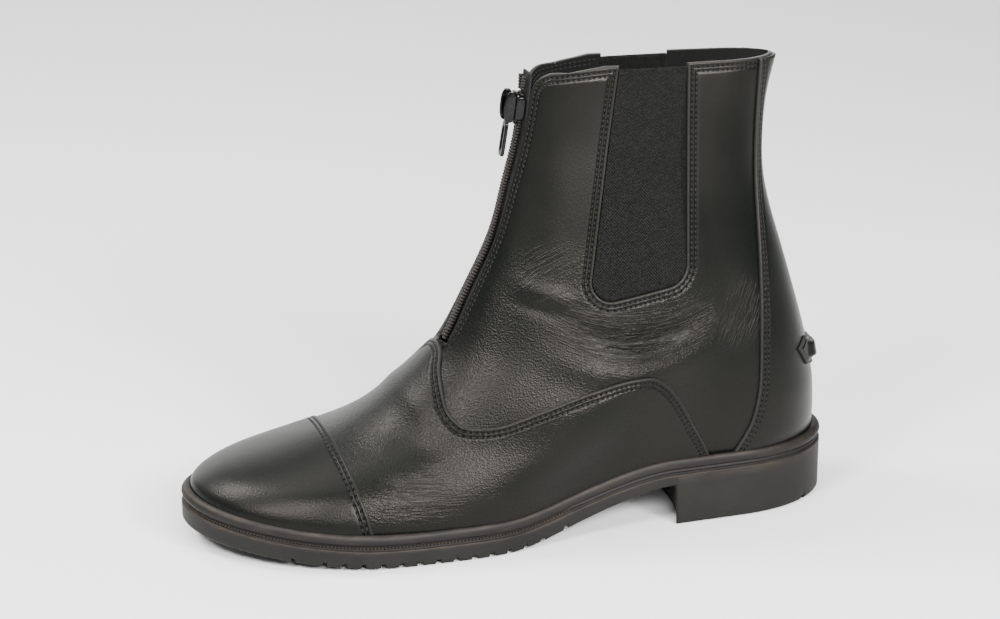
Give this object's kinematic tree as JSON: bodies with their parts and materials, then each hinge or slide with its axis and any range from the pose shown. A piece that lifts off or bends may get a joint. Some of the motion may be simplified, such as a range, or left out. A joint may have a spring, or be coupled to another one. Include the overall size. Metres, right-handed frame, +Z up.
{
  "type": "jodhpur boot",
  "caption": "Left zip-front ankle riding boot in black leather, with toe cap, elastic gores, spur rest and a rubber unit sole on a low heel; the zip's pull tab swings.",
  "frame": {"origin": "middle of the bounding box on the floor that the boot stands on", "axes": "+X from toe to heel, -Y towards the boot's outer side, +Z up"},
  "size_m": [0.2746, 0.096, 0.1909],
  "materials": {
    "leather": "smooth black leather, semi-gloss",
    "sole_rubber": "matte black rubber with a warm cast",
    "welt_rubber": "matte rubber bead, slightly worn",
    "elastic": "ribbed black elastic webbing",
    "lining": "matte dark lining",
    "zip_tape": "woven black tape",
    "zip_teeth": "black moulded teeth",
    "zip_metal": "black enamelled metal"
  },
  "bodies": {
    "boot": {"outsole": "sole_rubber", "welt": "welt_rubber", "insole": "lining", "upper": "leather", "vamp": "leather", "toe_cap": "leather", "back_strip": "leather", "spur_rest": "leather", "gore_outer": "elastic", "gore_inner": "elastic", "zip_tape": "zip_tape", "zip_chain": "zip_teeth", "zip_end_outer": "zip_teeth", "zip_end_inner": "zip_teeth", "zip_slider": "zip_metal"},
    "pull_tab": {"zip_pull": "zip_metal"}
  },
  "joints": [
    {"name": "pull_hinge", "type": "hinge", "parent": "boot", "child": "pull_tab", "pos_m": [-0.00119, 0, 0.1718], "axis": [0, 1, 0], "range_deg": [0, 155]}
  ]
}
